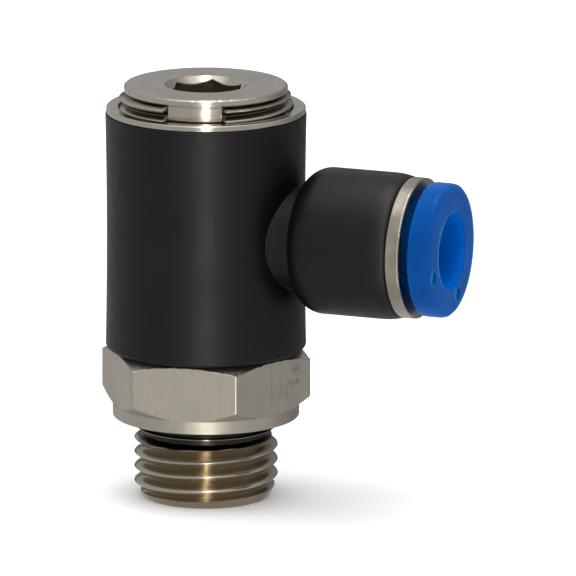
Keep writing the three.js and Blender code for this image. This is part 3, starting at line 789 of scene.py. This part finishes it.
def adjusting_screw():
    reaches = RELIEF_HALF_ANGLE, RELIEF_HALF_ANGLE + RELIEF_RAMP
    edges = [RELIEF_DIRECTION + side * reach for side in (-1, 1) for reach in reaches]
    edges = {KEY_TURN + (edge - KEY_TURN) % (2 * math.pi) for edge in edges}
    angles = sorted(edges | set(hex_angles(KEY_TURN, COLUMNS_PER_SIDE)))
    body = revolved(adjuster_outline, angles)
    thread = helix_sheet(
        ADJUSTER_THREAD, angles, ADJUSTER_THREAD_BOTTOM, ADJUSTER_THREAD_TOP, adjuster_thread_radius
    )
    piece = add_object("adjusting_screw_fine", mesh("adjusting_screw", [body, thread]))
    dress(piece, "screw", "adjusting_screw", "nickel", nickel_smooth, adjuster_thread_look)
    for face in piece.data.polygons:
        centre = face.center / MM
        in_relief = relief_depth(math.atan2(centre.y, centre.x)) >= 1
        outside = centre.xy.length > RIM_GROOVE_RADIUS - LOOK_MARGIN
        on_thread = outside and centre.z < ADJUSTER_THREAD_TOP
        if on_thread and not in_relief:
            face.material_index = 1


def throttle_needle():
    tip, taper, body, head, shank, neck = 0.7, 1.7, 2.6, NEEDLE_HIGH.y, 2.0, 1.5
    shoulder, head_bottom, head_top, land = 16.7, 20.0, 21.55, 0.3
    neck_bottom, neck_top = 25.2, 25.85
    corners = [
        (0, NEEDLE_LOW.z, 0),
        (tip, NEEDLE_LOW.z, 0.15),
        (taper, shoulder, 0.05),
        (body, shoulder + 0.2, 0.1),
        (body, head_bottom - land, 0.1),
        (head, head_bottom, 0.05),
        (head, head_bottom + land, 0.05),
        (body, head_bottom + land, 0.05),
        (body, head_top - land, 0.05),
        (head, head_top - land, 0.05),
        (head, head_top, 0.1),
        (shank, head_top, 0.1),
        (shank, neck_bottom, 0.05),
        (neck, neck_bottom, 0.05),
        (neck, neck_top, 0.05),
        (shank, neck_top, 0.05),
        (shank, NEEDLE_HIGH.z, 0.1),
        (0, NEEDLE_HIGH.z, 0),
    ]
    sheet = revolved(rounded(corners, closed=False), turn_angles(96))
    piece = add_object("throttle_needle_fine", mesh("throttle_needle", [sheet]))
    dress(piece, "needle", "throttle_needle", "brass", brass_turned)


# ---------------------------------------------------------------- the housing


def wall_radius(height):
    """The sleeve's slightly waisted wall: widest at both ends and narrowest at mid-height."""
    middle, half = (HOUSING_LOW.z + HOUSING_HIGH.z) / 2, (HOUSING_HIGH.z - HOUSING_LOW.z) / 2
    return HOUSING_WAIST + (HOUSING_RADIUS - HOUSING_WAIST) * ((height - middle) / half) ** 2


def wall_points(bottom, top, steps):
    """The wall's outline between two heights, as (radius, height)."""
    heights = [bottom + (top - bottom) * step / steps for step in range(steps + 1)]
    return [Vector((wall_radius(height), height)) for height in heights]


def on_wall(across, up):
    """A point on the housing's round wall, from the distance round it and the height over the barrel."""
    angle = across / HOUSING_RADIUS
    return at_angle((wall_radius(BARREL_HEIGHT + up), BARREL_HEIGHT + up), angle)


def neck_root(around):
    """How a rolling ball rounds the neck into the wall: where it touches the wall, in wall coordinates, and
    the curve of the rounding."""
    radius = NECK_ROOT_ROUNDING
    reach = NECK_RADIUS + radius
    across, up = reach * math.cos(around), reach * math.sin(around)
    wall = wall_radius(BARREL_HEIGHT + up) + radius
    out = math.sqrt(wall**2 - across**2)
    centre = Vector((out, across, BARREL_HEIGHT + up))
    to_wall = Vector((-out, -across, 0)) / wall
    to_neck = Vector((0, -math.cos(around), -math.sin(around)))
    steps = 4
    curve = [centre + to_wall.slerp(to_neck, step / steps) * radius for step in range(steps + 1)]
    touch = (HOUSING_RADIUS * math.atan2(across, out), up)
    return touch, curve


def barrel_outline():
    """The neck's end, the rounded shoulder, the barrel and its rounded end, as (radius, distance out)."""
    centre_radius = BARREL_RADIUS - SHOULDER_RADIUS
    neck_angle = math.degrees(math.acos((NECK_RADIUS - centre_radius) / SHOULDER_RADIUS))
    shoulder = arc(centre_radius, BARREL_START + SHOULDER_RADIUS, SHOULDER_RADIUS, -neck_angle, 0, 14)
    end = [Vector((BARREL_RADIUS - inset, BARREL_END - before)) for inset, before in BARREL_END_CURVE]
    return [*shoulder, *end, Vector((0, BARREL_END))]


def hole_patch():
    """The wall round the neck, the rounding at the neck's root, and the barrel, on the same columns."""
    wall_steps = 8
    columns = []
    for around in turn_angles(HOLE_COLUMNS):
        direction = Vector((math.cos(around), math.sin(around)))
        edge = direction * HOLE_HALF / max(abs(direction.x), abs(direction.y))
        touch, curve = neck_root(around)
        wall = [edge.lerp(Vector(touch), step / wall_steps) for step in range(wall_steps)]
        column = [on_wall(*point) for point in wall] + curve
        for radius, out in barrel_outline():
            column.append(Vector((out, radius * direction.x, BARREL_HEIGHT + radius * direction.y)))
        columns.append(column)
    return [list(row) for row in zip(*columns)]


def housing_sleeve():
    """The round wall with a square opening for the neck's patch, its rounded foot, and both ends."""
    per_side = HOLE_COLUMNS // 8
    lines = [HOLE_HALF * math.tan(math.pi / 4 * step / per_side) for step in range(-per_side, per_side + 1)]
    front = [line / HOUSING_RADIUS for line in lines]
    rest_count = 96
    rest_span = 2 * math.pi - 2 * front[-1]
    rest = [front[-1] + rest_span * step / rest_count for step in range(rest_count + 1)]
    bottom, top = HOUSING_LOW.z, HOUSING_HIGH.z
    foot_top = bottom + HOUSING_FOOT_ROUNDING
    foot_centre = wall_radius(foot_top) - HOUSING_FOOT_ROUNDING
    foot = arc(foot_centre, foot_top, HOUSING_FOOT_ROUNDING, -90, 0, 10)
    below = [Vector((0, bottom)), *foot, *wall_points(foot_top, BARREL_HEIGHT - HOLE_HALF, 4)[1:]]
    rim_corners = [(wall_radius(top - 1), top - 1, 0), (HOUSING_RADIUS, top, 0.15), (0, top, 0)]
    rim = rounded(rim_corners, closed=False)
    above = [*wall_points(BARREL_HEIGHT + HOLE_HALF, top - 1, 4), *rim[1:]]
    middle = [Vector((wall_radius(BARREL_HEIGHT + line), BARREL_HEIGHT + line)) for line in lines]
    all_round = [*front, *rest[1:]]
    return [revolved(below, all_round), revolved(above, all_round), revolved(middle, rest)]


def housing_cores():
    """The space inside: the stem's bore, with the air chamber and the collar's pocket, and the socket."""
    washer_radius, washer_top, bore = 8.0, 7.15, 6.35
    chamber_radius, chamber_bottom, chamber_top, chamfer = 7.7, 11.2, 19.7, 0.4
    pocket_radius, pocket_bottom = 8.6, 22.25
    passage, tube, push_in = 2.1, 3.12, 5.5
    passage_start, tube_start, push_in_start = 5, 10.2, 13.2
    beyond = 1.0
    stem = [
        (0, HOUSING_LOW.z - beyond),
        (washer_radius, HOUSING_LOW.z - beyond),
        (washer_radius, washer_top),
        (bore, washer_top),
        (bore, chamber_bottom),
        (chamber_radius, chamber_bottom + chamfer),
        (chamber_radius, chamber_top - chamfer),
        (bore, chamber_top),
        (bore, pocket_bottom),
        (pocket_radius, pocket_bottom),
        (pocket_radius, HOUSING_HIGH.z + beyond),
        (0, HOUSING_HIGH.z + beyond),
    ]
    socket = [
        (0, passage_start),
        (passage, passage_start),
        (passage, tube_start),
        (tube, tube_start),
        (tube, push_in_start),
        (push_in, push_in_start),
        (push_in, BARREL_END + beyond),
        (0, BARREL_END + beyond),
    ]
    stem_sheet = revolved([Vector(point) for point in stem], turn_angles(120))
    socket_sheet = revolved([Vector(point) for point in socket], turn_angles(96))
    return [mesh("stem_core", [stem_sheet]), mesh("socket_core", [socket_sheet], ALONG_BARREL)]


def housing():
    piece = add_object("housing_fine", mesh("housing", [*housing_sleeve(), hole_patch()]))
    cut(piece, housing_cores())
    dress(piece, "swivel", "housing", "black_plastic", black_plastic)


# ---------------------------------------------------------------- the push-in connection


def barrel_ring():
    radius, end, start = BARREL_RING_HIGH.y, BARREL_RING_HIGH.x, BARREL_END + 0.05
    lip, sleeve, sleeve_bore, sleeve_start, lug_end = 4.65, 5.4, 5.0, BARREL_RING_LOW.x, 19.3
    corners = [
        (sleeve_bore, sleeve_start, 0.05),
        (sleeve, sleeve_start, 0.05),
        (sleeve, start, 0.05),
        (radius - 0.08, start, 0.04),
        (radius, start + 0.1, 0.05),
        (radius, end - 0.1, 0.05),
        (radius - 0.1, end, 0.05),
        (lip, end, 0.1),
        (lip, lug_end + 0.45, 0.05),
        (sleeve_bore, lug_end + 0.1, 0.05),
    ]
    turned_piece("barrel_ring", "swivel", corners, "nickel", nickel_barrel, ALONG_BARREL, count=160)


def release_ring():
    nose, lug_start, lug_end, back, end = RELEASE_LOW.x, 18.3, 19.3, 21.75, RELEASE_HIGH.x
    neck, lug, funnel = 4.45, 4.8, 20.8
    corners = [
        (RELEASE_BORE, nose, 0.15),
        (neck - 0.45, nose, 0.2),
        (neck, lug_start, 0.1),
        (lug, lug_end - 0.45, 0.1),
        (lug, lug_end, 0.1),
        (neck, lug_end, 0.05),
        (neck, back, 0.15),
        (RELEASE_RIM, back, 0.3),
        (RELEASE_RIM, end, 0.6),
        (RELEASE_MOUTH, end, 0.12),
        (RELEASE_BORE, funnel, 0.3),
    ]
    sheet = revolved(closed_outline(rounded(corners)), turn_angles(160))
    piece = add_object("release_ring_fine", mesh("release_ring", [sheet], ALONG_BARREL))
    floor, beyond = end - DIMPLE_DEPTH, end + 1
    pin = [(0, floor), (DIMPLE_RADIUS - 0.05, floor), (DIMPLE_RADIUS, beyond), (0, beyond)]
    pin = [Vector(point) for point in pin]
    pins = []
    for out, degrees in DIMPLE_PLACES:
        place = Matrix.Rotation(math.radians(degrees), 4, "Z") @ Matrix.Translation((out * MM, 0, 0))
        pins.append(mesh("pin", [revolved(pin, turn_angles(32))], ALONG_BARREL @ place))
    cut(piece, pins)
    dress(piece, "release", "release_ring", "blue_plastic", blue_plastic, blue_bore_painted_light)
    # Faces inside the mouth get the lighter blue: painted light.
    for face in piece.data.polygons:
        centre = face.center / MM
        if math.hypot(centre.y, centre.z - BARREL_HEIGHT) < RELEASE_MOUTH - LOOK_MARGIN:
            face.material_index = 1


def tube_seal():
    start, end, outer = SEAL_LOW.x, SEAL_HIGH.x, SEAL_HIGH.y
    back_bore, front_bore, lip_bore, lip_place, crown = 3.3, 3.45, 3.08, 14.2, 0.15
    corners = [
        (back_bore, start, 0.1),
        (outer - crown, start, 0.2),
        (outer, (start + end) / 2, 0.4),
        (outer - crown, end, 0.2),
        (front_bore, end, 0.1),
        (lip_bore, lip_place, 0.3),
    ]
    turned_piece("tube_seal", "swivel", corners, "rubber", rubber, ALONG_BARREL)


def seal_backing_ring():
    start, end, outer = BACKING_LOW.x, BACKING_HIGH.x, BACKING_HIGH.y
    bore, rim, dish, dish_bottom = 3.2, 4.9, 3.6, end - 0.6
    corners = [
        (bore, start, 0.1),
        (outer, start, 0.1),
        (outer, end, 0.1),
        (rim, end, 0.05),
        (dish, dish_bottom, 0.05),
        (bore, dish_bottom, 0.05),
    ]
    turned_piece("seal_backing_ring", "swivel", corners, "white_plastic", white_plastic, ALONG_BARREL)


def grab_ring():
    tips, rim, thickness = 2.98, GRAB_HIGH.y, 0.3
    tip_end, rim_end = GRAB_LOW.x + thickness, GRAB_HIGH.x
    corners = [
        (tips, tip_end - thickness, 0.05),
        (rim, rim_end - thickness, 0.05),
        (rim, rim_end, 0.05),
        (tips, tip_end, 0.05),
    ]
    sheet = revolved(closed_outline(rounded(corners)), turn_angles(120))
    piece = add_object("grab_ring_fine", mesh("grab_ring", [sheet], ALONG_BARREL))
    teeth, gap, reach, slot_start, slot_end = 8, 0.45, 4.56, 14, 20
    low, high = Vector((0, -gap / 2, slot_start)), Vector((reach, gap / 2, slot_end))
    slots = []
    for tooth in range(teeth):
        turn = Matrix.Rotation(2 * math.pi * tooth / teeth, 4, "Z")
        slots.append(mesh("slot", block_sheets(low, high), ALONG_BARREL @ turn))
    cut(piece, slots)
    dress(piece, "swivel", "grab_ring", "steel", steel_spring)


def block_sheets(low, high):
    """The sides of a block as sheets of four corners."""
    ring = [(low.x, low.y), (high.x, low.y), (high.x, high.y), (low.x, high.y), (low.x, low.y)]
    heights, breadths, lengths = (low.z, high.z), (low.y, high.y), (low.x, high.x)
    walls = [[Vector((x, y, z)) for x, y in ring] for z in heights]
    ends = [[[Vector((x, y, z)) for x in lengths] for y in breadths] for z in heights]
    return [walls, *ends]


def carried_over():
    """The CAD nodes that stay: hidden rings and washers, with their own procedural looks."""
    looks = {
        "thrust_washer": white_plastic,
        "lower_o_ring": rubber,
        "upper_o_ring": rubber,
        "check_lip_seal": rubber,
        "lip_seal_backup_ring": white_plastic,
        "needle_stop_ring": steel_spring,
        "needle_o_ring": rubber,
        "adjusting_screw_o_ring": rubber,
        "needle_clip": steel_spring,
    }
    for name, material in looks.items():
        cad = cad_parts[name]
        cad.data.materials.clear()
        cad.data.materials.append(material)


# ---------------------------------------------------------------- floor, light and camera

CAMERA_AZIMUTH = 21.38
CAMERA_ELEVATION = 13.01
CAMERA_DISTANCE = 1.1
CAMERA_PAN = math.radians(-0.39)
CAMERA_TILT = math.radians(-0.013)
LENS = 753.0
AIM_HEIGHT = 12.0
SURROUND = 0.85
MIRRORED_SURROUND = 0.5
MIRRORED_DARK_SIDE = 0.22
MIRRORED_OVERHEAD = 1.3
DARK_SIDE_AZIMUTH = 135
STRIP_HALF_WIDTH = 0.015
STRIP_EDGE = 0.03
STRIP_COLOUR = rgba(15.0, 14.2, 12.8)
STRIP_BACK_END = (-0.45, -0.3)
STRIP_LOW_END = (-0.85, -0.7)
DARK_SIDE_EDGE = (0.6, 0.98)
OVERHEAD_EDGE = (0.8, 0.98)
HORIZON_DARK = 0.1
HORIZON_RISE = 0.05
HORIZON_EDGE = (0.05, 0.11)
HORIZON_SIDES = (-0.8, -0.5)


def facing_axis(azimuth, elevation, distance):
    """The place of a camera or light that faces the screw's axis. The angles are in degrees, and azimuth 0
    is along -Y."""
    turn, rise = math.radians(azimuth), math.radians(elevation)
    back = Vector((math.sin(turn) * math.cos(rise), -math.cos(turn) * math.cos(rise), math.sin(rise)))
    facing = (-back).to_track_quat("-Z", "Y").to_matrix().to_4x4()
    return Matrix.Translation(back * distance + Vector((0, 0, AIM_HEIGHT * MM))) @ facing


def add_camera():
    """A long lens that faces the screw's axis, and then turns a little aside to frame the barrel too."""
    data = bpy.data.cameras.new("camera")
    data.lens = LENS
    data.clip_start, data.clip_end = 0.01, 100
    camera = add_object("camera", data)
    framing = Matrix.Rotation(CAMERA_PAN, 4, "Y") @ Matrix.Rotation(CAMERA_TILT, 4, "X")
    camera.matrix_world = facing_axis(CAMERA_AZIMUTH, CAMERA_ELEVATION, CAMERA_DISTANCE) @ framing
    bpy.context.scene.camera = camera


def add_softbox(name, azimuth, elevation, distance, width, height, power):
    """A soft light that isn't mirrored, because the surround holds what glossy surfaces mirror."""
    data = bpy.data.lights.new(name, "AREA")
    data.shape = "RECTANGLE"
    data.size, data.size_y = width, height
    data.energy = power
    light = add_object(name, data)
    light.matrix_world = facing_axis(azimuth, elevation, distance)
    light.visible_glossy = False
    light.visible_camera = False


def add_world():
    """A bright surround that lights everything evenly. What glossy surfaces mirror of it is dimmer, darkest
    behind on the right, with a tall strip light at the camera, a bright patch overhead and a dark horizon
    behind. The camera itself sees plain white."""
    world = bpy.data.worlds.new("studio")
    world.use_nodes = True
    tree = world.node_tree
    tree.nodes.clear()
    place = node(tree, "ShaderNodeTexCoord").outputs["Generated"]
    turn = math.radians(CAMERA_AZIMUTH)
    dark_turn = turn + math.radians(DARK_SIDE_AZIMUTH)
    aside = measure(tree, "DOT_PRODUCT", place, (math.cos(turn), math.sin(turn), 0))
    front = measure(tree, "DOT_PRODUCT", place, (math.sin(turn), -math.cos(turn), 0))
    dark = measure(tree, "DOT_PRODUCT", place, (math.sin(dark_turn), -math.cos(dark_turn), 0))
    up = node(tree, "ShaderNodeSeparateXYZ", {0: place}).outputs["Z"]

    off_strip = number(tree, "ABSOLUTE", aside)
    strip_width = remap(tree, off_strip, STRIP_HALF_WIDTH, STRIP_HALF_WIDTH + STRIP_EDGE, 1.0, 0.0)
    strip_back = remap(tree, front, *STRIP_BACK_END, 0.0, 1.0)
    strip_low = remap(tree, up, *STRIP_LOW_END, 0.0, 1.0)
    strip_end = number(tree, "MULTIPLY", strip_back, strip_low)
    strip = number(tree, "MULTIPLY", strip_width, strip_end)

    in_dark = remap(tree, dark, *DARK_SIDE_EDGE, 0.0, 1.0)
    around = blend(tree, in_dark, grey(MIRRORED_SURROUND), grey(MIRRORED_DARK_SIDE))
    overhead = remap(tree, up, *OVERHEAD_EDGE, 0.0, 1.0)
    around = blend(tree, overhead, around, grey(MIRRORED_OVERHEAD))

    from_horizon = number(tree, "ABSOLUTE", number(tree, "SUBTRACT", up, HORIZON_RISE))
    near_horizon = remap(tree, from_horizon, *HORIZON_EDGE, 1.0, 0.0)
    behind = remap(tree, front, *HORIZON_SIDES, 1.0, 0.0)
    around = blend(tree, number(tree, "MULTIPLY", near_horizon, behind), around, grey(HORIZON_DARK))
    mirrored = blend(tree, strip, around, STRIP_COLOUR)

    path = node(tree, "ShaderNodeLightPath").outputs
    seen = blend(tree, path["Is Glossy Ray"], grey(SURROUND), mirrored)
    seen = blend(tree, path["Is Camera Ray"], seen, grey(1.0))
    background = node(tree, "ShaderNodeBackground", {"Color": seen, "Strength": 1.0})
    output = node(tree, "ShaderNodeOutputWorld")
    tree.links.new(background.outputs[0], output.inputs["Surface"])
    bpy.context.scene.world = world


def add_floor():
    """A pale floor, in metres, at the height of the thread's end."""
    half, level = 3.0, CAD_BOX[0].z
    data = bpy.data.meshes.new("floor")
    corners = [(-half, -half), (half, -half), (half, half), (-half, half)]
    data.from_pydata([(x, y, level) for x, y in corners], [], [(0, 1, 2, 3)])
    material, tree, shader, place = start_material("floor")
    shader.inputs["Specular IOR Level"].default_value = 0.1
    cloud = noise(tree, place, 3.0)
    colour = blend(tree, cloud, grey(0.93), grey(0.95))
    rough = remap(tree, cloud, 0, 1, 0.8, 0.9)
    finish_material(tree, shader, colour, rough, bump(tree, cloud, 1e-5))
    data.materials.append(material)
    floor = add_object("floor", data)
    floor.visible_glossy = False


hollow_screw()
port_seal_ring()
orifice_seat()
top_collar()
housing()
throttle_needle()
adjusting_screw()
tube_seal()
seal_backing_ring()
grab_ring()
barrel_ring()
release_ring()
carried_over()

add_floor()
add_world()
add_camera()
add_softbox("overhead", azimuth=0, elevation=88, distance=1.2, width=1.2, height=1.2, power=14.0)

bpy.context.scene.view_settings.view_transform = "Standard"
